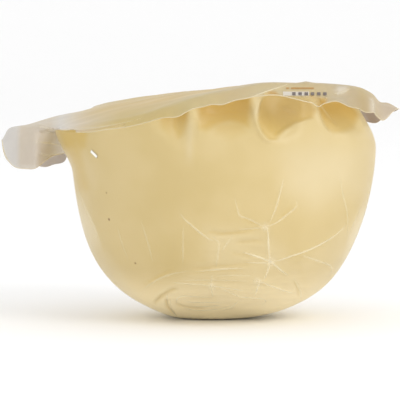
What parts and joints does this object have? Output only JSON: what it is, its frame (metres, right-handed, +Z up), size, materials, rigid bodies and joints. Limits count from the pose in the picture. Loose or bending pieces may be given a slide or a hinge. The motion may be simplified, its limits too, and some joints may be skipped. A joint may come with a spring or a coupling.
{
  "type": "smoked scamorza in vacuum pack",
  "caption": "Bowl-shaped piece of pale smoked scamorza, drawn tight in clear film with pleats under the seal, a thin wavy margin and a tab at each end.",
  "frame": {"origin": "on the table, under the middle of the pack's bounding box", "axes": "+X along the long side of the pack towards its pointed tab, -Y towards the side the picture shows, +Z up through the lid"},
  "size_m": [0.144, 0.1218, 0.0876],
  "materials": {
    "cheese": "smooth, slightly moist cheese under tight film",
    "film": "clear, wrinkled packing film"
  },
  "bodies": {
    "root": {"scamorza": "cheese", "pack_film": "film"}
  },
  "joints": []
}
